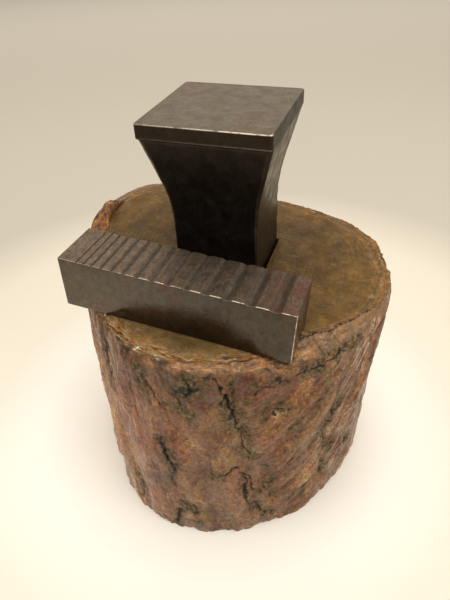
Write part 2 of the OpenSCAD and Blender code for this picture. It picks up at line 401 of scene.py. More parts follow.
def joined_relief(k, degrees, u, drop, edge):
    """The solid's relief without the step where the grain changes at the front furrow."""
    relief, pit = solid_relief(k, degrees, u, drop)
    away = np.where(nearest_line(k, u) == FRONT_LINE, smooth(0.5 * MM, 9 * MM, edge), 1)
    middle = np.minimum(RIDGE_D / 2 + PIT_D * pit, RELIEF_SHARE * bark_thickness(degrees) / MM)
    closed = ROUND_D * 0.6 * np.abs(2 * u - 1) ** ROUND_POWER
    return middle + (relief - middle) * away - closed * away, pit


def near_cracks(degrees, drop, wobble):
    """Depth in millimetres and strength from 0 to 1 of the listed cracks, and how far the nearest is."""
    depth, strength = np.zeros((2, len(degrees)))
    beside = np.full(len(degrees), 99.0)
    x = np.radians(turned(degrees)) * MEAN_R / MM + wobble[0]
    y = drop / MM + wobble[1]
    for line, width, deep in CRACKS:
        path = np.array([(math.radians(a) * MEAN_R / MM, d) for a, d in line])
        best = np.full(len(x), 99.0)
        along = np.zeros(len(x))
        for k, (p, q) in enumerate(zip(path, path[1:])):
            d = q - p
            t = np.clip(((x - p[0]) * d[0] + (y - p[1]) * d[1]) / (d @ d), 0, 1)
            far = np.hypot(x - p[0] - t * d[0], y - p[1] - t * d[1])
            along = np.where(far < best, (k + t) / (len(path) - 1), along)
            best = np.minimum(best, far)
        taper = 0.4 + 0.6 * np.sin(np.pi * np.clip(along, 0.06, 0.94))
        cut = 1 - smooth(0.4 * width * taper, 1.3 * width * taper, best)
        depth = np.maximum(depth, deep * taper * cut)
        strength = np.maximum(strength, cut)
        beside = np.minimum(beside, best)
    return depth, strength, beside


def bark_scales(q, rough):
    """Height, cracks and colour numbers of the bark's plates, flakes and streaks at places q."""
    warp = np.stack([fractal(q, (9, 9, 14), seed, 3) for seed in (11, 12, 13)], axis=1)
    warped = q + 3.0 * warp
    border, plate = cells(warped, (20, 20, 44), 5)
    open_share = smooth(0.10, 0.60, noise(q, (30, 30, 46), 21))
    plate_crack = (1 - smooth(0.0, 0.055, border)) * open_share
    scale_border, scale = cells(q + 1.6 * warp, (6.5, 6.5, 12), 7)
    flake_field = fractal(warped, (13, 13, 34), 31, 4) * 4.6
    step = np.floor(flake_field)
    inside = flake_field - step
    terrace = step + smooth(0.0, 0.20, inside)
    flake_edge = (1 - smooth(0.0, 0.18, inside)) * smooth(-0.4, 0.3, noise(q, 18, 33))
    streak = fractal(q, (1.6, 1.6, 18), 34, 3)
    split = 1 - smooth(0.0, 0.07, np.abs(fractal(q + 1.2 * warp, (6, 6, 26), 36, 3)))
    split = split * smooth(0.05, 0.40, noise(q, (12, 12, 20), 37))
    streaky = 0.55 + 0.45 * smooth(-0.3, 0.4, noise(q, (34, 34, 60), 35))
    scale_crack = (1 - smooth(0.0, 0.10, scale_border)) * (0.35 + 0.65 * rough)
    height = (0.46 * terrace + 0.45 * (plate - 0.5) + 0.38 * (scale - 0.5) + 0.20 * streaky * streak
              + 0.34 * fractal(q, (3.4, 3.4, 5.0), 62, 4) - 1.1 * plate_crack
              - 0.40 * scale_crack - 0.7 * split)
    crack = np.maximum.reduce([0.9 * plate_crack, 0.40 * scale_crack, 0.48 * flake_edge, 0.72 * split])
    vein = np.clip((1 - smooth(0.0, 0.24, scale_border)) + 0.7 * flake_edge, 0, 1)
    return np.stack([height, crack, plate, scale, vein, streak])


def painted_sheen_share(degrees):
    """Share of the painted sheen at each angle: full on the two sides that the camera sees edge on."""
    sides = [bump((turned(degrees) - at) / SHEEN_SPAN) for at in (SHEEN_RIGHT, SHEEN_LEFT)]
    return np.maximum(*sides)


def bark_detail(k, degrees, u, drop, edge, pit):
    """Height of the bark's finer relief in millimetres, and the numbers that its colours follow."""
    height_z = (LOG_H - drop) / MM

    def around(radians):
        return np.stack([np.cos(radians) * MEAN_R / MM, np.sin(radians) * MEAN_R / MM, height_z], axis=1)

    plain = around(np.radians(degrees))
    wobble = (1.9 * fractal(plain, 8, 101, 2) + 1.3 * fractal(plain, 2.4, 103, 2),
              2.2 * fractal(plain, 9, 102, 2) + 1.5 * fractal(plain, 2.6, 104, 2))
    stirred = plain + 0.9 * np.stack([fractal(plain, 4, seed, 2) for seed in (14, 15, 16)], axis=1)
    crumb_border, crumb = cells(stirred, (2.5, 2.5, 3.6), 9)
    deep, hand, beside = near_cracks(degrees, drop, wobble)
    lines = nearest_line(k, u)
    free = lines != FRONT_LINE
    line_place = np.stack([lines * 40.0, lines * 0.0, height_z], axis=1)
    furrow_open = smooth(0.10, 0.50, noise(line_place, (9, 9, 17), 23)) * np.where(free, 1, 0.2)
    sway = 3.2 * noise(line_place + 7, (9, 9, 16), 27) * free + 4.5 * noise(line_place, (9, 9, 13), 28)
    side = np.where(u < 0.5, 1, -1) * edge / MM
    ragged_edge = np.maximum(np.abs(side - sway * 0.6) + 1.1 * fractal(plain, 2.8, 24, 2) - 0.3, 0)
    furrow = (1 - smooth(0.3, 1.5, ragged_edge)) * furrow_open
    rough = np.clip(0.9 * pit + 1.6 * (1 - smooth(1, 9, beside)) * smooth(-0.7, 0.1, noise(plain, 9, 25))
                    + 0.9 * (1 - smooth(1.0, 5.0, ragged_edge)) * furrow_open, 0, 1)
    rough = rough * smooth(-0.60, 0.0, noise(plain, (6, 6, 8), 26))
    scales = bark_scales(around(grain_angle(k, degrees, u, drop)), rough)
    if FRONT_LINE in (k, (k + 1) % len(FURROWS)):
        upright = bark_scales(plain, rough)
        scales = upright + (scales - upright) * np.where(free, 1, smooth(0.5 * MM, 10 * MM, edge))
    height, crack, plate, scale, vein, streak = scales
    height = (height - rough * (0.9 * crumb**1.3 + 0.45 * (1 - smooth(0, 0.16, crumb_border)) - 0.3)
              - 0.75 * deep - 1.5 * furrow * (0.7 + 0.5 * crumb))
    crack = np.maximum.reduce([crack, hand, 0.9 * furrow, 0.75 * rough * smooth(0.55, 0.95, crumb)])
    # The last number is a painted sheen of pale streaks on the two flanks seen edge on
    numbers = {"crack": np.clip(crack, 0, 1), "plate": plate, "scale": scale, "rough": rough,
               "vein": vein, "painted_sheen": smooth(-0.1, 0.45, streak) * painted_sheen_share(degrees)}
    return height, numbers


def bark_sheet(k):
    """Grid of the outside of a bark plate: up its side, then over the worn rim to the wood."""
    side_rows = round(LOG_H / BARK_STEP)
    share = np.concatenate([np.linspace(0, 1, side_rows + 1), np.ones(RIM_ROWS)])[:, None]
    over = np.concatenate([np.zeros(side_rows + 1), np.arange(1, RIM_ROWS + 1) / RIM_ROWS])[:, None]
    a0, a1 = furrow_angle(k, share), furrow_angle(k + 1, share)
    span = math.radians((a1 - a0).mean()) * MEAN_R
    u = np.linspace(0, 1, round(span / BARK_STEP) + 1)[None, :]
    degrees = a0 + (a1 - a0) * u
    shape = degrees.shape
    share, over, u = (np.broadcast_to(v, shape) for v in (share, over, u))
    thick = bark_thickness(degrees)
    drop = LOG_H * (1 - share)
    places = [v.ravel() for v in (degrees, u, drop, np.minimum(u, 1 - u) * span)]
    solid, pit = joined_relief(k, *places)
    height, numbers = bark_detail(k, *places, pit)
    solid, height = solid.reshape(shape) * MM, height.reshape(shape) * MM
    turn = np.radians(places[0])
    round_log = round_place(turn)

    def field(at, size, seed, octaves=3):
        return fractal(at, size, seed, octaves).reshape(shape)

    chips = field(round_log, 6, 71, 4)
    ragged = field(round_log + 50, 5, 74)
    jag = field(round_log + 90, 2.6, 77)
    near_top = np.clip(1 - drop / (8 * MM), 0, 1) ** 2
    near_foot = np.clip(1 - (LOG_H - drop) / (6 * MM), 0, 1) ** 2
    behind = bump((degrees - BACK_AT) / BACK_SPAN)
    chunk = lump(degrees + 3) * smooth(180, 160, degrees)
    slant = bump((degrees - SLANT_AT) / SLANT_SPAN)
    inset = solid + 0.35 * MM - height * np.clip(thick / (6 * MM), 0.5, 1)
    inset = inset * (1 - 0.75 * behind * near_top)
    inset = inset + near_top * (1.0 + 1.2 * chips) * (1 - behind) * MM
    inset = inset + near_foot * np.clip(0.4 + 1.6 * ragged, 0, 1.6) * MM
    swell = np.maximum(0.5 * chunk, 3.1 * slant) * smooth(24 * MM, 9 * MM, drop)
    inset = np.clip(inset, -1.2 * MM, thick - 0.8 * MM) - swell * (2.4 + 1.6 * chips) * MM
    outer = inset[side_rows][None, :] * np.ones(shape)
    rim = over > 0
    inset = np.where(rim, outer + (thick + WOOD_LAP - outer) * over, inset)
    x, y = log_xy(degrees, share, inset)
    flat = np.stack([x.ravel(), y.ravel(), x.ravel() * 0], axis=1) / MM
    crumble = field(flat, 3.2, 75)
    count = np.clip((thick - outer) / (2.4 * MM), 2, 6)
    stair = (1 - over) * count + 0.9 * field(flat, 9, 76) + 0.25 * crumble
    stair = np.clip((np.floor(stair) + smooth(0.1, 0.55, stair - np.floor(stair))) / count, 0, 1)
    crevice = bump((over - 0.86 - 0.14 * jag) / (0.07 + 0.05 * chips)) * (1 - chunk)
    crevice = crevice * smooth(-0.45, 0.05, chips + 0.4 * (thick > 9 * MM) + 0.4 * jag)
    low = worn(degrees) * np.clip(0.95 + 0.5 * chips, 0.5, 1.5) * (1 - 0.7 * behind)
    low = low + slant * SLANT_H * (1 + 0.3 * chips)
    broken = np.where(rim, 2.4 * crumble + 1.2 * jag, 0.6 * crumble + 0.6 * jag) * MM
    raised = (0.4 + 0.6 * smooth(0, 0.7, over)) * (LUMP_H * (2.3 + 0.5 * chips) + broken)
    top = top_z(x) - 0.3 * MM - low * np.where(rim, 0.55 * stair + 0.45 * (1 - over), 1) + chunk * raised
    top = top - np.where(rim, (1.8 * crevice + 0.25 * np.abs(crumble)) * MM, 0)
    ragged_rim = smooth(4.5 * MM, 0.5 * MM, drop + 3.5 * (chips + jag) * MM)
    torn = smooth(0.05, 0.40, np.maximum(chunk, slant)) * smooth(18 * MM, 7 * MM, drop + 4 * chips * MM)
    crack, rough = (numbers[key].reshape(shape) for key in ("crack", "rough"))
    numbers.update(rim=np.maximum(smooth(0, 0.12, over), 0.85 * ragged_rim), chunk=torn, layer=inset / MM,
                   crack=np.maximum(crack * (1 - smooth(0, 0.1, over)), 0.9 * crevice),
                   rough=rough * (1 - 0.8 * smooth(0, 0.25, over)), arc=turn * MEAN_R / MM)
    return np.stack([x, y, share * top], axis=2), {key: v.ravel() for key, v in numbers.items()}


def zipped(first, second):
    """Triangles between two rows of points with different counts."""
    made, i, j = [], 0, 0
    n, m = len(first) - 1, len(second) - 1
    while i < n or j < m:
        if j == m or (i < n and (i + 1) * m <= (j + 1) * n):
            made.append((first[i], first[i + 1], second[j]))
            i += 1
        else:
            made.append((first[i], second[j + 1], second[j]))
            j += 1
    return made


def closed_plate(grid, k):
    """Closes a bark sheet with a plain inner wall that follows the wood."""
    rows, columns = grid.shape[:2]
    share = np.linspace(0, 1, INNER_ROWS)[:, None]
    a0, a1 = furrow_angle(k, share), furrow_angle(k + 1, share)
    degrees = a0 + (a1 - a0) * np.linspace(0, 1, INNER_COLUMNS)[None, :]
    share = np.broadcast_to(share, degrees.shape)
    x, y = log_xy(degrees, share, bark_thickness(degrees) + WOOD_LAP)
    inner = np.stack([x, y, share * (top_z(x) - 1.2 * MM)], axis=2)
    start = rows * columns
    points = np.vstack([grid.reshape(-1, 3), inner.reshape(-1, 3)])
    quads = np.vstack([grid_quads(rows, columns),
                       grid_quads(INNER_ROWS, INNER_COLUMNS, start=start, flip=True)])
    wall = np.arange(start).reshape(rows, columns)
    back = start + np.arange(share.size).reshape(share.shape)
    seams = ((back[0], wall[0]), (wall[-1], back[-1]), (wall[:, 0], back[:, 0]), (back[:, -1], wall[:, -1]))
    return points, quads, [triangle for seam in seams for triangle in zipped(*seam)]


def make_bark(material):
    for k, node in enumerate(BARK_NODES):
        grid, numbers = bark_sheet(k)
        points, quads, triangles = closed_plate(grid, k)
        spare = np.zeros(INNER_ROWS * INNER_COLUMNS)
        numbers = {key: np.concatenate([v, spare]) for key, v in numbers.items()}
        piece = mesh_piece(node + "_plate", points, quads, triangles, numbers)
        dress(piece, node, "stump", material)


# Wood of the log; its parts carry these numbers into the material
ON_SIDE, ON_TOP, IN_HOLE, UNDERNEATH = 0.0, 1.0, 2.0, 3.0
WOOD_COLUMNS = 512
WOOD_TOP_ROWS = 84
RING_RATE = 210.0


def angle_square(half):
    """Points round a square at even shares of its outline, starting at the middle of its right side."""
    t = (np.arange(WOOD_COLUMNS) / WOOD_COLUMNS * 8 + 1) % 8
    u = t % 2 - 1
    one = np.ones(WOOD_COLUMNS)
    side = (t // 2).astype(int)
    x, y = np.choose(side, [one, -u, -one, u]), np.choose(side, [u, one, -u, -one])
    return np.stack([x, y], axis=1) * half


def make_wood(material):
    """The log's wood as one closed solid: pilot hole, mortise, top, side and underside."""
    n = WOOD_COLUMNS
    degrees = np.arange(n) / n * 360
    thick = bark_thickness(degrees)
    rings, kinds = [], []

    def add(xy, z, kind):
        rings.append(np.concatenate([xy, np.broadcast_to(np.asarray(z, float), (n,))[:, None]], axis=1))
        kinds.append(kind)

    def side_at(share, inset=0.0):
        return np.stack(log_xy(degrees, share, thick + BARK_GAP + inset), axis=1)

    hole = angle_square(MORTISE_HALF)
    tip, root = (angle_square(half + TANG_GAP) for half in (TANG_TIP_HALF, TANG_HALF))
    quarters = (0.25, 0.5, 0.75, 1.0)
    add(tip * 0.5, TANG_Z - TANG_GAP, IN_HOLE)
    add(tip, TANG_Z - TANG_GAP, IN_HOLE)
    for u in quarters:
        add(tip + (root - tip) * u, TANG_Z + (SHOULDER_Z - TANG_Z) * u, IN_HOLE)
    for u in quarters:
        add(root + (hole - root) * u, SHOULDER_Z, IN_HOLE)
    wall_top = top_z(hole[:, 0]) - 0.6 * MM
    out = hole / np.abs(hole).max(axis=1, keepdims=True)
    for u in np.linspace(0, 1, 26)[1:]:
        z = SHOULDER_Z + (wall_top - SHOULDER_Z) * u
        q = np.column_stack([hole, z]) / MM
        grain = fractal(q, (2.5, 2.5, 14), 81, 3) * 0.25 * MM * min(1, 4 * (1 - u) + 0.5)
        add(hole + out * (0.15 * MM + grain[:, None]), z, IN_HOLE)
    round_log = round_place(np.radians(degrees))
    lap = 0.7 + 1.5 * fractal(round_log, 7, 95, 3) + 1.5 * fractal(round_log, 2.2, 96, 2)
    outline = np.stack(log_xy(degrees, 1.0, thick - np.clip(lap, -0.3, 2.6) * MM), axis=1)
    edge = hole + hole / MORTISE_HALF * 0.6 * MM
    for j in range(WOOD_TOP_ROWS + 1):
        u = (j / WOOD_TOP_ROWS) ** 0.9
        xy = edge + (outline - edge) * u
        add(xy, top_z(xy[:, 0]) + wood_relief(xy, u), ON_TOP)
    add(outline, top_z(outline[:, 0]) - 1.1 * MM, ON_TOP)
    for share in (0.985, 0.9, 0.6, 0.3, 0.01):
        xy = side_at(share)
        add(xy, share * top_z(xy[:, 0]), ON_SIDE)
    middle = LOG_MIDDLE - LOG_LEAN
    foot = side_at(0.0, 0.6 * MM)
    for u in np.linspace(1, 0.02, 26):
        add(middle + (foot - middle) * u, 0.0, UNDERNEATH)
    points, quads, triangles = ring_stack(rings)
    v = (points[:, :2] - LOG_MIDDLE) / (LOG_W / 2, LOG_D / 2)
    angle = np.degrees(np.arctan2(v[:, 1], v[:, 0]))
    numbers = {"part": np.concatenate([np.repeat(kinds, n), [IN_HOLE, UNDERNEATH]]),
               "ring": np.hypot(v[:, 0], v[:, 1]) / round_value(RIM_SHARE, angle)}
    piece = mesh_piece("stump_wood_core", points, quads, triangles, numbers)
    dress(piece, "stump_wood", "stump", material)


def wood_relief(xy, u):
    """Small rises and falls of the log's sawn and varnished top, in metres."""
    q = np.concatenate([xy / MM, np.zeros((len(xy), 1))], axis=1)
    waves = 0.12 * noise(q, (26, 26, 9), 91) + 0.06 * fractal(q, (6, 6, 9), 92, 3)
    rim_wear = -0.35 * smooth(0.90, 1.0, u) * (1 + 0.8 * noise(q, 7, 93))
    pocks = -0.5 * smooth(0.80, 1.0, u) * smooth(0.25, 0.7, noise(q, (3, 3, 3), 97))
    step = np.concatenate([xy / MM, np.full((len(xy), 1), 60.0 * u)], axis=1)
    front = smooth(-62 * MM, -74 * MM, xy[:, 1])
    ledges = smooth(0.88, 0.97, u) * smooth(-0.1, 0.12, fractal(step, (16, 16, 2.4), 98, 3))
    hole_wear = -0.45 * (1 - smooth(0.0, 0.03, u)) * (1 + 0.6 * noise(q, 4, 94))
    return (waves - 0.15 + rim_wear + pocks - (0.3 + 0.7 * front) * ledges + hole_wear) * MM


# Steel
TANG_CUT = 0.8 * MM
HEAD_CUT = 2.5 * MM
ANVIL_SIDE_STEPS = 40
ANVIL_CORNER_STEPS = 5
FACE_BEVEL = 0.7 * MM
FACE_CORNER = 1.8 * MM
FACE_SIDE_STEPS = 56
FACE_CORNER_STEPS = 6
BAR_BEVEL = 0.4 * MM
BAR_SIDE_STEPS = 34
BAR_CORNER_STEPS = 4


def flare_half(z):
    """Half-width of the anvil below its plate, at height z."""
    top = FACE_LOW.z
    half = FACE_HIGH.x - PLATE_SEAM
    run = (half - SHANK_HALF - NECK_R * (1 - math.cos(FLARE_ANGLE))) / math.tan(FLARE_ANGLE)
    neck_top = top - run
    neck_foot = neck_top - NECK_R * math.sin(FLARE_ANGLE)
    if z >= neck_top:
        return half - (top - z) * math.tan(FLARE_ANGLE)
    if z >= neck_foot:
        return SHANK_HALF + NECK_R - math.sqrt(NECK_R**2 - (z - neck_foot) ** 2)
    return SHANK_HALF


def make_anvil(material):
    """Flared body with chamfered corners, shank, shoulder and tang."""
    rings = []

    def add(half, cut, z, wear=True):
        xy = square_ring(half, cut, ANVIL_SIDE_STEPS, ANVIL_CORNER_STEPS, flat=True)
        points = np.concatenate([xy, np.full((len(xy), 1), z)], axis=1)
        if wear:
            q = points / MM
            dent = 0.10 * fractal(q, (9, 9, 12), 111, 3) + 0.035 * fractal(q, (2, 2, 3), 112, 2)
            at_corner = smooth(0.75, 1.0, 1 - np.abs(np.abs(xy[:, 0]) - np.abs(xy[:, 1])) / half)
            chipped = -0.35 * at_corner * np.clip(noise(q, (3, 3, 4), 113), 0, 1)
            out = xy / np.linalg.norm(xy, axis=1, keepdims=True)
            points[:, :2] += out * ((dent + chipped - 0.06) * MM)[:, None]
        rings.append(points)

    tip, root = TANG_TIP_HALF, TANG_HALF
    add(tip * 0.3, TANG_CUT / 2, TANG_Z)
    add(tip - TANG_CUT, TANG_CUT, TANG_Z)
    for u in np.linspace(0, 1, 40):
        add(tip + (root - tip) * u, TANG_CUT, TANG_Z + TANG_CUT + (SHOULDER_Z - TANG_Z - TANG_CUT) * u)
    for u in np.linspace(0, 1, 8)[1:]:
        add(root + (SHANK_HALF - TANG_CUT - root) * u, TANG_CUT, SHOULDER_Z)
    top = FACE_LOW.z
    for z in np.arange(SHOULDER_Z + TANG_CUT, top - 0.5 * MM, 1.0 * MM):
        grow = smooth(LOG_H + 15 * MM, top, z)
        add(flare_half(z), TANG_CUT + (HEAD_CUT - TANG_CUT) * float(grow), z)
    add(flare_half(top - 0.3 * MM), HEAD_CUT, top - 0.3 * MM)
    add(flare_half(top - 0.3 * MM) - 0.5 * MM, HEAD_CUT, top)
    for u in (0.75, 0.5, 0.25, 0.05):
        add(flare_half(top) * u, HEAD_CUT * u, top, wear=False)
    piece = mesh_piece("anvil_flared_body", *ring_stack(rings))
    dress(piece, "anvil_body", "anvil", material)


def make_face(material):
    """Hardened plate with softly worn edges."""
    half = FACE_HIGH.x
    flat = half - FACE_BEVEL
    low, high = FACE_LOW.z, FACE_HIGH.z
    rings = []
    numbers = {"wear": [], "ground": []}

    def add(h, c, z, worn=0.0, top=0.0):
        xy = square_ring(h, min(c, h * 0.4), FACE_SIDE_STEPS, FACE_CORNER_STEPS)
        points = np.concatenate([xy, np.full((len(xy), 1), z)], axis=1)
        out = xy / np.linalg.norm(xy, axis=1, keepdims=True)
        soft = 0.05 * fractal(points / MM, (8, 8, 8), 121, 3)
        points[:, :2] += out * (soft * MM)[:, None] * (h > 0.9 * half)
        rings.append(points)
        at_front = smooth(0.90, 0.99, -xy[:, 1] / half)
        along = 0.35 + 0.65 * smooth(-half, half, xy[:, 0])
        numbers["wear"].append(worn * (0.12 + 0.88 * at_front * along))
        numbers["ground"].append(np.full(len(xy), top))

    for u in (0.05, 0.4, 0.8):
        add(flat * u, 1.6 * MM * u, low)
    for b in np.linspace(0, math.pi / 2, 5):
        add(flat + FACE_BEVEL * math.sin(b), FACE_CORNER, low + FACE_BEVEL * (1 - math.cos(b)), 0.18)
    for z in np.linspace(low + FACE_BEVEL, high - FACE_BEVEL, 10)[1:-1]:
        add(half, FACE_CORNER, z)
    for b in np.linspace(0, math.pi / 2, 6):
        add(flat + FACE_BEVEL * math.cos(b), FACE_CORNER, high - FACE_BEVEL * (1 - math.sin(b)),
            math.sin(2 * b) ** 2, b / (math.pi / 2))
    for u in np.linspace(1, 0.02, 40)[1:]:
        add(flat * u, FACE_CORNER * u, high, top=1.0)
        waves = 0.02 * fractal(rings[-1] / MM, (6, 6, 6), 122, 3)
        rings[-1][:, 2] += (waves - 0.02 - 0.025 * (1 - smooth(0.9, 1, u))) * MM
    ends = {"wear": [0.0, 0.0], "ground": [0.0, 1.0]}
    numbers = {key: np.concatenate([*parts, ends[key]]) for key, parts in numbers.items()}
    piece = mesh_piece("anvil_face_plate", *ring_stack(rings), numbers)
    dress(piece, "face_plate", "anvil", material)


def groove_centres():
    n = GROOVE_N - 1
    grow = (GROOVE_SPREAD - 1) / (n - 1)
    k = np.arange(GROOVE_N)
    share = (k + grow * k * (k - 1) / 2) / (n + grow * n * (n - 1) / 2)
    return GROOVE_LEFT + (BAR_L - GROOVE_LEFT - GROOVE_RIGHT) * share


def groove_depth_at(x):
    """Depth of the grooves at distances from the bar's left end, and shares of land and of painted shade in
    the hollows.
    """
    depth, shade_share = np.zeros((2, len(x)))
    land = np.ones(len(x))
    widths, depths = (np.linspace(*ends, GROOVE_N) for ends in (GROOVE_W, GROOVE_D))
    for centre, w, d in zip(groove_centres(), widths, depths):
        off = np.abs(x - centre)
        core = w * np.interp(w, (1.5 * MM, 4.0 * MM), (0.26, 0.5))
        depth = np.maximum(depth, d * bump(off / (0.60 * w + 0.12 * MM)))
        land = np.minimum(land, smooth(core, core + 0.3 * MM, off))
        shade_share = np.maximum(shade_share, GROOVE_SHADE_TONE / (w / MM) * bump(off / (0.35 * core + 0.42 * MM)))
    return depth, land, np.minimum(shade_share, 1)


def bar_outline(cut, deep):
    """Points (y, z) round the bar's cross-section, which is drawn in by cut and lowered on top by deep."""
    out, low, high = BAR_W / 2 - cut, cut, BAR_H - cut - deep
    y_end = out - BAR_BEVEL
    ys = np.linspace(-y_end, y_end, BAR_SIDE_STEPS + 1)
    zs = np.linspace(low + BAR_BEVEL, high - BAR_BEVEL, BAR_SIDE_STEPS + 1)
    sides = ([(out, z) for z in zs], [(y, high) for y in ys[::-1]],
             [(-out, z) for z in zs[::-1]], [(y, low) for y in ys])
    corners = ((y_end, zs[-1]), (-y_end, zs[-1]), (-y_end, zs[0]), (y_end, zs[0]))
    points = []
    for quarter, (side, (y, z)) in enumerate(zip(sides, corners)):
        turn = np.linspace(quarter, quarter + 1, BAR_CORNER_STEPS + 1)[1:-1] * math.pi / 2
        points += side + [(y + BAR_BEVEL * math.cos(t), z + BAR_BEVEL * math.sin(t)) for t in turn]
    return np.array(points).T


def make_bar(material):
    """Square bar with round-bottomed grooves across its top and burnished lands between them."""
    edges = np.array([0.0, 0.12, 0.3, 0.5]) * MM
    inner = np.arange(0.85 * MM, BAR_L - 0.8 * MM, 0.35 * MM)
    xs = np.concatenate([edges, inner, BAR_L - edges[::-1]])
    half_w = BAR_W / 2
    rings = []
    numbers = {"wear": [], "ground": [], "painted_groove_shade": [], "groove": []}

    def section(x, cut, deep=0.0, on_land=0.0, in_groove_shade=0.0):
        y, z = bar_outline(cut, deep)
        high = BAR_H - cut - deep
        points = np.stack([np.full(len(y), x), y, z], axis=1)
        q = points / MM
        nick = 0.03 * fractal(q, (5, 5, 5), 131, 3)
        edge_y = smooth(half_w - 1.2 * MM, half_w - 0.2 * MM, np.abs(y))
        edge_z = smooth(high - 1.0 * MM, high - 0.1 * MM, z)
        dent = -0.12 * edge_y * edge_z * np.clip(noise(q, (1.4, 4, 4), 132), 0, 1)
        points[:, 2] += (nick * edge_z + dent) * MM
        rings.append(points)
        near_edge = (smooth(half_w - 0.38 * MM, half_w - 0.14 * MM, -y)
                     * smooth(high - 0.40 * MM, high - 0.17 * MM, z)
                     * (0.35 + 0.65 * smooth(28 * MM, 58 * MM, x)))
        upper = smooth(high - 0.3 * MM, high - 0.05 * MM, z)
        numbers["wear"].append(np.clip(near_edge * (0.1 + 0.9 * on_land), 0, 1))
        numbers["ground"].append(upper * (0.6 + 0.4 * on_land))
        numbers["painted_groove_shade"].append(upper * in_groove_shade)
        numbers["groove"].append(upper * (1 - on_land))

    caps = (0.04, 0.3, 0.6, 0.85)
    for u in caps:
        section(0.0, half_w * (1 - u) * 0.98)
    for x, *state in zip(xs, *groove_depth_at(xs)):
        from_end = min(x, BAR_L - x)
        section(x, BAR_BEVEL * (1 - math.sqrt(1 - (1 - min(from_end / BAR_BEVEL, 1)) ** 2)), *state)
        if 0.05 * MM < BAR_L - x < 0.35 * MM:
            at_front = smooth(half_w - 1.2 * MM, half_w - 0.4 * MM, -rings[-1][:, 1])
            numbers["wear"][-1] = np.maximum(numbers["wear"][-1], 0.8 * at_front)
    for u in caps[::-1]:
        section(BAR_L, half_w * (1 - u) * 0.98)
    points, quads, triangles = ring_stack(rings)
    points[:, 0] -= BAR_L / 2
    m = np.array(Matrix.Translation((*BAR_PLACE, top_z(BAR_PLACE[0]) + BAR_SEAT_GAP))
                 @ Matrix.Rotation(math.atan(TOP_SLOPE), 4, "Y") @ Matrix.Rotation(BAR_TURN, 4, "Z"))
    numbers = {key: np.concatenate([*parts, [0.0, 0.0]]) for key, parts in numbers.items()}
    piece = mesh_piece("grooved_forming_bar", points @ m[:3, :3].T + m[:3, 3], quads, triangles, numbers)
    dress(piece, "forming_bar", "bar", material)


# Materials
class Nodes:
    """Short ways to add and join the nodes of one material."""

    def __init__(self, name):
        self.material = bpy.data.materials.new(name)
        self.material.use_nodes = True
        self.tree = self.material.node_tree
        self.shader = self.tree.nodes["Principled BSDF"]
        self.place = self.made("ShaderNodeTexCoord", "Object", {})

    def put(self, target, value):
        if isinstance(value, bpy.types.NodeSocket):
            self.tree.links.new(value, target)
        else:
            target.default_value = value

    def made(self, kind, output, inputs, **settings):
        """An output of a new node that has those settings and inputs."""
        node = self.tree.nodes.new(kind)
        for key, value in settings.items():
            setattr(node, key, value)
        for key, value in inputs.items():
            self.put(node.inputs[key], value)
        return node.outputs[output]

    def number(self, name):
        return self.made("ShaderNodeAttribute", "Fac", {}, attribute_name=name)

    def stretch(self, scale, turn=0.0):
        inputs = {"Vector": self.place, "Rotation": (0, 0, turn), "Scale": scale}
        return self.made("ShaderNodeMapping", "Vector", inputs)

    def noise(self, scale, detail, rough, place=None, warp=0.0):
        inputs = {"Vector": place or self.place, "Scale": scale, "Detail": detail, "Roughness": rough,
                  "Distortion": warp}
        return self.made("ShaderNodeTexNoise", "Fac", inputs)

    def ramp(self, value, *stops, mode="LINEAR"):
        """Colour at a value between stops, each a position with red, green and blue."""
        node = self.tree.nodes.new("ShaderNodeValToRGB")
        node.color_ramp.interpolation = mode
        while len(node.color_ramp.elements) < len(stops):
            node.color_ramp.elements.new(0.5)
        for element, (at, *colour) in zip(node.color_ramp.elements, stops):
            element.position = at
            element.color = (*colour, 1.0)
        self.put(node.inputs["Fac"], value)
        return node.outputs["Color"]

    def span(self, value, low, high, to_low=0.0, to_high=1.0):
        inputs = {"Value": value, "From Min": low, "From Max": high, "To Min": to_low, "To Max": to_high}
        return self.made("ShaderNodeMapRange", "Result", inputs, interpolation_type="SMOOTHSTEP")

    def spots(self, scale, detail, rough, low, high, *ends, place=None, warp=0.0):
        """Share from 0 to 1, or between the ends, that rises as noise goes from low to high."""
        return self.span(self.noise(scale, detail, rough, place, warp), low, high, *ends)

    def math(self, kind, a, b=0.0):
        return self.made("ShaderNodeMath", "Value", {0: a, 1: b}, operation=kind)

    def times(self, first, *others):
        for other in others:
            first = self.math("MULTIPLY", first, other)
        return first

    def plus(self, a, b, share=None):
        return self.math("ADD", a, b if share is None else self.times(b, share))

    def shaken(self, value, noise, amount):
        """A value moved up and down by noise."""
        return self.plus(value, self.math("SUBTRACT", noise, 0.5), amount)

    def mix(self, share, a, b, kind="MIX"):
        a, b = (v if isinstance(v, bpy.types.NodeSocket) else (*v, 1.0) for v in (a, b))
        inputs = {"Factor": share, "A": a, "B": b}
        return self.made("ShaderNodeMix", "Result", inputs, data_type="RGBA", blend_type=kind)

    def lay(self, base, colour, *shares):
        """A colour over the base by the product of the shares."""
        return self.mix(self.times(*shares), base, colour)

    def tint(self, share, base, value, *stops):
        """The base times a ramp of tones."""
        return self.mix(share, base, self.ramp(value, *stops), "MULTIPLY")

    def axis(self, name):
        """One coordinate of the place, in metres."""
        return self.made("ShaderNodeSeparateXYZ", name, {0: self.place})

    def vector(self, *values):
        return self.made("ShaderNodeCombineXYZ", "Vector", dict(enumerate(values)))

    def bump(self, height, distance, strength):
        inputs = {"Strength": strength, "Distance": distance, "Height": height}
        return self.made("ShaderNodeBump", "Normal", inputs)

    def finish(self, **sockets):
        for key, value in sockets.items():
            self.put(self.shader.inputs[key.replace("_", " ")], value)
        return self.material


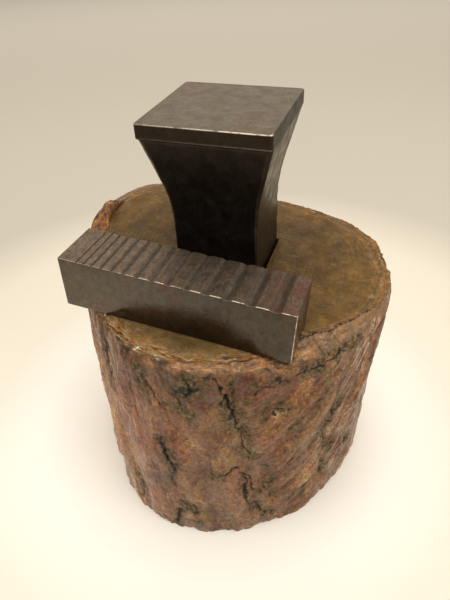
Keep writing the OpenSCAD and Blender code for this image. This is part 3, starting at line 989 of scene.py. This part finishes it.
def bark_material():
    """Varnished pine bark: maroon to purple-brown plates, orange flakes, grey-green dirt in the pits."""
    n = Nodes("bark_varnished")
    x, z = n.axis("X"), n.axis("Z")
    grain = n.stretch((1.0, 1.0, 0.55))
    base = n.ramp(n.noise(62, 8, 0.7, grain, 0.7), (0.33, 0.056, 0.016, 0.007), (0.44, 0.13, 0.041, 0.016),
                  (0.52, 0.168, 0.064, 0.026), (0.6, 0.205, 0.092, 0.04), (0.7, 0.33, 0.19, 0.088))
    base = n.tint(0.9, base, n.number("plate"), (0.0, 0.66, 0.62, 0.6), (0.5, 0.98, 0.95, 0.93),
                  (1.0, 1.3, 1.25, 1.2))
    base = n.tint(0.6, base, n.number("scale"), (0.0, 0.6, 0.56, 0.54), (0.6, 1, 1, 1),
                  (1.0, 1.45, 1.35, 1.25))
    # Red, orange, purple and olive stains, painted sheen as pale streaks on the flanks, and veins between
    # the scales
    base = n.lay(base, (0.195, 0.042, 0.02), n.spots(44, 6, 0.66, 0.54, 0.66, warp=0.5), 0.55)
    base = n.lay(base, (0.29, 0.11, 0.02), n.spots(95, 7, 0.72, 0.54, 0.66, place=grain, warp=0.8), 0.5)
    purple = n.spots(58, 6, 0.7, 0.53, 0.66, place=n.stretch((1.3, 1.3, 0.9)))
    base = n.lay(base, (0.185, 0.096, 0.074), purple, 0.52)
    olive = n.spots(74, 7, 0.74, 0.55, 0.66, place=n.stretch((0.8, 0.8, 1.2)))
    base = n.lay(base, (0.15, 0.112, 0.052), olive, 0.4)
    # Painted sheen: pale streaks on the flanks seen edge on
    sheen_streaks = n.spots(130, 5, 0.7, 0.4, 0.6, place=grain)
    base = n.lay(base, (0.5, 0.385, 0.262), n.number("painted_sheen"), sheen_streaks, 0.84)
    base = n.lay(base, (0.3, 0.15, 0.05), n.number("vein"), n.spots(150, 4, 0.6, 0.42, 0.6), 0.5)
    fine = n.noise(430, 7, 0.74)
    base = n.tint(0.7, base, fine, (0.36, 0.42, 0.36, 0.29), (0.5, 1.14, 1.25, 1.18),
                  (0.66, 1.95, 2.1, 1.9))
    # Painted bounce light from the floor, paler at the foot but for its right; a change from left to right,
    # broad patches, and painted shade under the bar
    foot = n.times(n.span(z, 0.0, 0.085, 1.0, 0.0), n.span(x, 0.0, 0.065, 1.0, 0.0))
    base = n.mix(foot, base, (1.18, 1.34, 1.38), "MULTIPLY")
    base = n.tint(1.0, base, n.span(x, -0.095, 0.085), (0.0, 1.24, 1.2, 1.02), (0.35, 1.02, 0.88, 0.82),
                  (0.6, 0.9, 0.93, 0.97), (1.0, 1.0, 1.13, 1.26))
    broad = n.noise(24, 5, 0.62, warp=0.4)
    base = n.tint(1.0, base, broad, (0.4, 0.95, 0.81, 0.79), (0.5, 1.0, 0.98, 0.97),
                  (0.6, 1.05, 1.12, 1.12))
    # Painted shade under the bar, on the bark's rim below it
    painted_bar_shadow = n.times(n.span(z, 0.1, 0.138), n.span(x, 0.015, 0.045, 1.0, 0.0))
    base = n.mix(painted_bar_shadow, base, (0.62, 0.6, 0.58), "MULTIPLY")
    grit = n.noise(900, 4, 0.6)
    base = n.tint(0.7, base, grit, (0.36, 0.5, 0.46, 0.44), (0.52, 1, 1, 1), (0.68, 1.5, 1.45, 1.4))
    base = n.mix(n.number("rim"), base, bark_section(n))
    chunk = n.ramp(n.noise(190, 5, 0.72), (0.4, 0.018, 0.008, 0.003), (0.47, 0.16, 0.05, 0.008),
                   (0.56, 0.35, 0.118, 0.008), (0.64, 0.52, 0.3, 0.045))
    base = n.lay(base, chunk, n.number("chunk"), 0.97)
    dirt = n.ramp(n.noise(420, 6, 0.74), (0.38, 0.018, 0.012, 0.005), (0.46, 0.076, 0.054, 0.022),
                  (0.54, 0.152, 0.11, 0.048), (0.64, 0.27, 0.205, 0.105))
    dirt = n.lay(dirt, (0.27, 0.1, 0.028), n.spots(260, 5, 0.7, 0.55, 0.62), 0.7)
    rough = n.times(n.number("rough"), n.spots(160, 5, 0.66, 0.36, 0.56, 0.35, 0.95))
    base = n.mix(rough, base, dirt)
    base = n.lay(base, (0.016, 0.013, 0.008), rough, n.spots(520, 5, 0.7, 0.53, 0.6))
    base = n.mix(n.span(n.shaken(n.number("crack"), fine, 0.8), 0.36, 0.9), base, (0.01, 0.008, 0.005))
    normal = n.bump(n.plus(n.noise(210, 7, 0.66, grain), grit, 0.35), 0.0012, 0.8)
    gloss = n.plus(n.spots(75, 5, 0.7, 0.38, 0.62, 0.24, 0.5), rough, 0.45)
    return n.finish(Base_Color=base, Roughness=gloss, Normal=normal, Specular_IOR_Level=0.34,
                    Coat_Weight=0.12, Coat_Roughness=0.24)


def bark_section(n):
    """Colour of the layers on the worn rim: dark, brown and orange bands along the log's outline, with
    painted light on its front.
    """
    y = n.axis("Y")
    band = n.vector(n.times(n.number("layer"), 0.4), n.times(n.number("arc"), 0.085))
    layers = n.noise(1.0, 7, 0.72, band, 0.9)
    colour = n.ramp(layers, (0.38, 0.012, 0.008, 0.004), (0.45, 0.095, 0.05, 0.021),
                    (0.51, 0.185, 0.099, 0.042), (0.56, 0.28, 0.108, 0.024), (0.63, 0.3, 0.185, 0.085),
                    (0.72, 0.45, 0.35, 0.22))
    colour = n.lay(colour, (0.085, 0.05, 0.02), n.spots(120, 6, 0.72, 0.46, 0.62), 0.25)
    speck = n.noise(380, 6, 0.74)
    colour = n.tint(0.55, colour, speck, (0.38, 0.2, 0.18, 0.16), (0.52, 1, 1, 1), (0.68, 1.9, 1.7, 1.4))
    colour = n.mix(n.span(y, -0.08, -0.03, 0.0, 0.55), colour, (0.16, 0.094, 0.042))
    # Painted light on the front of the rim, which lies in the bar's shade: lighter and bluer towards the
    # front
    colour = n.tint(1.0, colour, n.span(y, -0.075, 0.025), (0.0, 1.36, 1.36, 1.46), (1.0, 1.02, 1.0, 0.95))
    return n.lay(colour, (0.62, 0.53, 0.37), n.spots(130, 4, 0.6, 0.6, 0.68), n.span(speck, 0.5, 0.6), 0.8)


def wood_material():
    """Varnished end grain: olive-brown, stained and scratched, yellow and orange towards the rim."""
    n = Nodes("end_grain_varnished")
    ring = n.number("ring")
    rings = n.math("SINE", n.times(n.plus(ring, n.noise(18, 3, 0.5), 0.12), RING_RATE))
    base = n.ramp(n.noise(52, 6, 0.68, warp=0.6), (0.34, 0.074, 0.039, 0.01), (0.45, 0.092, 0.049, 0.011),
                  (0.54, 0.112, 0.06, 0.013), (0.66, 0.146, 0.08, 0.016))
    ring_share = n.spots(26, 3, 0.55, 0.4, 0.62, 0.06, 0.34)
    base = n.lay(base, (0.045, 0.025, 0.009), n.span(rings, -1.0, 1.0), ring_share)
    # Yellow and orange towards the rim, stains, blots, a dark line at the rim, fine grain, chips and soot
    yellow = n.span(n.shaken(ring, n.noise(34, 6, 0.7, warp=0.5), 1.2), 0.66, 0.92)
    base = n.lay(base, (0.215, 0.122, 0.032), yellow, 0.36)
    orange = n.span(n.shaken(ring, n.noise(95, 6, 0.74), 0.75), 0.84, 1.0)
    base = n.lay(base, (0.29, 0.118, 0.024), orange, 0.5)
    base = n.lay(base, (0.05, 0.03, 0.012), n.spots(22, 6, 0.68, 0.5, 0.62), 0.34)
    blot = n.noise(150, 7, 0.72, warp=0.6)
    base = n.tint(0.48, base, blot, (0.36, 0.42, 0.4, 0.4), (0.5, 1, 1, 1), (0.66, 1.55, 1.5, 1.45))
    line = n.shaken(ring, n.noise(60, 6, 0.7), 0.1)
    lip = n.times(n.span(line, 0.905, 0.918), n.span(line, 0.922, 0.94, 1.0, 0.0))
    base = n.lay(base, (0.05, 0.04, 0.02), lip, 0.75)
    fine = n.noise(600, 6, 0.78)
    base = n.tint(0.38, base, fine, (0.36, 0.3, 0.27, 0.24), (0.52, 1, 1, 1), (0.68, 1.6, 1.5, 1.35))
    base = n.lay(base, (0.46, 0.35, 0.21), n.span(ring, 0.86, 0.96), n.spots(230, 6, 0.74, 0.56, 0.62), 0.7)
    base = n.lay(base, (0.052, 0.04, 0.022), n.span(ring, 0.8, 0.92), n.spots(100, 6, 0.74, 0.52, 0.6), 0.6)
    base = n.mix(scratches(n), base, (0.36, 0.27, 0.12))
    # Painted light on the front strip, which lies in the bar's shade, then torn layers and pale flakes at
    # its rim
    x, y = n.axis("X"), n.axis("Y")
    front = n.span(y, -0.08, -0.064, 1.0, 0.0)
    base = n.mix(front, base, (1.17, 1.34, 1.98), "MULTIPLY")
    layers = n.vector(n.times(ring, 40.0), n.times(x, 90.0), n.times(y, 90.0))
    torn = n.ramp(n.noise(1.0, 6, 0.74, layers, 1.6), (0.38, 0.014, 0.01, 0.005), (0.45, 0.11, 0.06, 0.022),
                  (0.5, 0.35, 0.13, 0.018), (0.56, 0.2, 0.165, 0.09), (0.64, 0.46, 0.4, 0.265))
    near = n.shaken(ring, n.noise(130, 6, 0.75), 0.26)
    base = n.lay(base, torn, n.span(near, 0.85, 0.91), n.span(front, 0.0, 1.0, 0.15, 0.92))
    base = n.lay(base, (0.7, 0.62, 0.47), n.span(near, 0.9, 0.94), n.spots(170, 5, 0.66, 0.6, 0.64), front)
    # Bare wood underneath and painted shade on the walls in the hole
    part = n.number("part")
    bare = n.ramp(n.noise(60, 4, 0.6), (0.3, 0.3, 0.19, 0.095), (0.7, 0.44, 0.3, 0.16))
    bare = n.mix(n.span(rings, -1.0, 1.0, 0.0, 0.35), bare, (0.24, 0.13, 0.055))
    base = n.mix(n.span(part, 2.4, 2.6), base, bare)
    inside = n.times(n.span(part, 1.4, 1.6), n.span(part, 2.4, 2.6, 1.0, 0.0))
    base = n.lay(base, (0.035, 0.024, 0.014), inside, 0.75)
    normal = n.bump(n.plus(n.times(rings, 0.12), n.noise(420, 5, 0.7)), 0.0003, 0.7)
    gloss = n.spots(90, 4, 0.55, 0.3, 0.7, 0.46, 0.66)
    return n.finish(Base_Color=base, Roughness=gloss, Normal=normal, Specular_IOR_Level=0.16)


def scratches(n):
    """Share of sparse, short light scratches in two directions."""
    kinds = ((0.5, (70, 900, 70)), (-0.9, (110, 1100, 110)))
    shares = [n.spots(1.0, 2, 0.5, 0.7, 0.76, place=n.stretch(scale, turn)) for turn, scale in kinds]
    return n.times(n.math("MAXIMUM", *shares), 0.55)


def oxide_steel():
    """Near-black forged steel with a faint upright grain."""
    n = Nodes("anvil_oxide")
    base = n.ramp(n.noise(90, 7, 0.7, n.stretch((1.0, 1.0, 0.7)), 0.3), (0.34, 0.025, 0.02, 0.016),
                  (0.52, 0.034, 0.028, 0.023), (0.68, 0.048, 0.04, 0.032))
    streak = n.noise(1.0, 5, 0.7, n.stretch((520, 520, 110)))
    base = n.tint(0.6, base, streak, (0.34, 0.66, 0.65, 0.64), (0.52, 1, 1, 1), (0.7, 1.4, 1.37, 1.33))
    base = n.lay(base, (0.07, 0.034, 0.018), n.spots(34, 5, 0.66, 0.6, 0.72), 0.2)
    gloss = n.spots(120, 6, 0.7, 0.34, 0.66, 0.28, 0.48)
    normal = n.bump(n.plus(n.noise(260, 6, 0.7), streak), 0.00008, 0.8)
    return n.finish(Base_Color=base, Roughness=gloss, Normal=normal, Metallic=0.86,
                    Specular_Tint=(1.0, 0.95, 0.85, 1.0))


def worn_steel(name, ground, side, rough, dull, brushed, left, right):
    """Steel with a ground top, darker sides, rubbed bright edges and a reddish stain at its right end;
    painted reflections along the sides, a top painted darker towards the right end, and painted shade in
    the grooves.
    """
    n = Nodes(name)
    x, top = n.axis("X"), n.number("ground")
    mottle = n.noise(240, 7, 0.72, warp=0.3)

    def mottled(tone, spread):
        low, high = ([v * share for v in tone] for share in (1 - spread, 1 + spread))
        return n.ramp(mottle, (0.32, *low), (0.68, *high))

    # Painted reflections of the floor and the log on the sides: lighter at the left end, bluer in the
    # middle, darker towards the right and a little lighter on the right end face; the top is painted darker
    # towards the right end
    warm, end = left - 1, 0.3 + 0.7 * right
    sides_with_painted_reflection = n.tint(1.0, mottled(side, 0.22), n.span(x, -0.065, 0.0575), (0.0, left, left, left),
                  (0.45, 1.0, 1 + 0.08 * warm, 1 + 0.7 * warm), (0.998, right, right, right),
                  (1.0, end, end, end))
    bright = n.mix(n.span(x, 0.0, 0.045, 0.0, 0.55 * (1 - right)), mottled(ground, 0.2), (0.0, 0.0, 0.0))
    base = n.mix(top, sides_with_painted_reflection, bright)
    base = n.lay(base, (0.15, 0.062, 0.032), n.spots(48, 5, 0.68, 0.57, 0.7), 0.3)
    grain = n.noise(1.0, 4, 0.72, n.stretch(brushed))
    base = n.tint(n.span(top, 0.0, 0.6, 0.3, 0.7), base, grain, (0.34, 0.56, 0.55, 0.53), (0.52, 1, 1, 1),
                  (0.7, 1.42, 1.4, 1.36))
    red_end = n.span(x, 0.036, 0.05)
    base = n.lay(base, (0.125, 0.048, 0.034), red_end, top, n.spots(90, 5, 0.7, 0.4, 0.6, 0.1, 0.6))
    grit = n.noise(800, 4, 0.62)
    base = n.tint(n.times(top, 0.7), base, grit, (0.36, 0.66, 0.66, 0.66), (0.52, 1, 1, 1),
                  (0.68, 1.34, 1.32, 1.3))
    # Painted shade in the bar's grooves
    base = n.lay(base, (0.026, 0.02, 0.016), n.number("painted_groove_shade"), 0.92)
    base = n.lay(base, (0.78, 0.68, 0.55), n.number("wear"), n.spots(190, 3, 0.55, 0.34, 0.52, 0.25, 1.0))
    gloss = n.plus(n.spots(130, 5, 0.66, 0.3, 0.7, *rough), top, dull)
    gloss = n.plus(gloss, n.number("groove"), 0.22)
    normal = n.bump(n.plus(n.noise(300, 5, 0.7), grain, 0.8), 0.00007, 0.8)
    return n.finish(Base_Color=base, Roughness=gloss, Normal=normal, Metallic=1.0)


def floor_material():
    """Pale paper with a painted pool of light: brightest round the object, duller further off and paler
    again towards the horizon.
    """
    n = Nodes("floor_painted_light_pool")
    moved = n.made("ShaderNodeVectorMath", "Vector", {0: n.place, 1: LIGHT_POOL_MIDDLE}, operation="SUBTRACT")
    away = n.made("ShaderNodeVectorMath", "Value", {0: moved}, operation="LENGTH")
    reach = 12.0
    light_pool_tones = [(0.1375, 0.92, 0.89, 0.825), (0.2, 0.775, 0.722, 0.62), (0.275, 0.725, 0.672, 0.57),
             (0.375, 0.53, 0.485, 0.41), (0.75, 0.545, 0.5, 0.425), (2.1, 0.7, 0.655, 0.575),
             (5.0, 0.85, 0.82, 0.76), (reach, 0.93, 0.925, 0.91)]
    stops = [(at / reach, *tone) for at, *tone in light_pool_tones]
    return n.finish(Base_Color=n.ramp(n.math("DIVIDE", away, reach), *stops, mode="EASE"), Roughness=0.85)


# The floor's rings, the middle of its painted pool of light, and how far it lies below the log's foot
FLOOR_RADII = (0.4, 1.0, 2.2, 5.0, 20.0, 60.0)
FLOOR_STEPS = 96
LIGHT_POOL_MIDDLE = (-0.015, 0.0, 0.0)
FLOOR_DROP = 0.3 * MM


# Floor, light and camera
def make_floor():
    turn = np.arange(FLOOR_STEPS) / FLOOR_STEPS * 2 * math.pi
    points = [(0, 0, 0)] + [(r * math.cos(t), r * math.sin(t), 0) for r in FLOOR_RADII for t in turn]
    triangles = [(0, 1 + i, 1 + (i + 1) % FLOOR_STEPS) for i in range(FLOOR_STEPS)]
    quads = grid_quads(len(FLOOR_RADII), FLOOR_STEPS, closed=True, start=1, flip=True)
    floor = mesh_piece("floor", points, quads, triangles)
    floor.location.z = -FLOOR_DROP
    floor.data.materials.append(floor_material())


def make_lights():
    world = bpy.data.worlds.new("studio")
    world.use_nodes = True
    back = world.node_tree.nodes["Background"]
    back.inputs["Color"].default_value = (0.86, 0.80, 0.70, 1.0)
    back.inputs["Strength"].default_value = 0.62
    bpy.context.scene.world = world

    def area(name, place, aim, size, power, colour):
        light = bpy.data.lights.new(name, "AREA")
        light.shape = "RECTANGLE"
        light.size, light.size_y = size
        light.energy = power
        light.color = colour
        lamp = bpy.data.objects.new(name, light)
        lamp.location = place
        lamp.rotation_mode = "QUATERNION"
        lamp.rotation_quaternion = (Vector(aim) - Vector(place)).to_track_quat("-Z", "Y")
        bpy.context.scene.collection.objects.link(lamp)

    area("soft_top", (0.15, -0.15, 1.25), (0, -0.05, 0.1), (1.3, 1.3), 12, (1.0, 0.955, 0.88))
    area("soft_right", (1.1, -0.35, 0.75), (0, 0, 0.12), (0.7, 0.7), 4.5, (1.0, 0.95, 0.90))
    area("soft_left", (-1.0, -0.7, 0.7), (0, 0, 0.1), (0.8, 0.8), 3.5, (1.0, 0.96, 0.94))
    area("soft_back", (-0.55, 1.55, 1.55), (0, 0, 0.2), (2.4, 1.5), 13, (1.0, 0.95, 0.86))


def make_camera():
    a = math.radians(CAMERA_AZIMUTH)
    e = math.radians(CAMERA_DOWN)
    ahead = Vector((math.sin(a) * math.cos(e), math.cos(a) * math.cos(e), -math.sin(e)))
    right = ahead.cross(Vector((0, 0, 1))).normalized()
    up = right.cross(ahead)
    r = math.radians(CAMERA_ROLL)
    across = math.cos(r) * right + math.sin(r) * up
    above = math.cos(r) * up - math.sin(r) * right
    camera = bpy.data.objects.new("camera", bpy.data.cameras.new("camera"))
    camera.data.sensor_width = SENSOR
    camera.data.lens = CAMERA_FOCAL * SENSOR
    turn = Matrix((across, above, -ahead)).transposed().to_4x4()
    camera.matrix_world = Matrix.Translation(CAMERA_PLACE) @ turn
    bpy.context.scene.collection.objects.link(camera)
    bpy.context.scene.camera = camera


make_camera()
make_floor()
make_lights()
make_wood(wood_material())
make_bark(bark_material())
make_anvil(oxide_steel())
make_face(worn_steel("face_worn", ground=(0.132, 0.101, 0.068), side=(0.040, 0.031, 0.023),
                     rough=(0.36, 0.52), dull=0.0, brushed=(260, 1500, 260), left=1.0, right=1.0))
# left and right set the painted reflections along the bar's sides
make_bar(worn_steel("bar_ground", ground=(0.150, 0.110, 0.079), side=(0.110, 0.094, 0.076),
                    rough=(0.17, 0.30), dull=0.28, brushed=(700, 260, 260), left=1.24, right=0.72))

scene = bpy.context.scene
scene.view_settings.view_transform = "Standard"
scene.view_settings.look = "None"
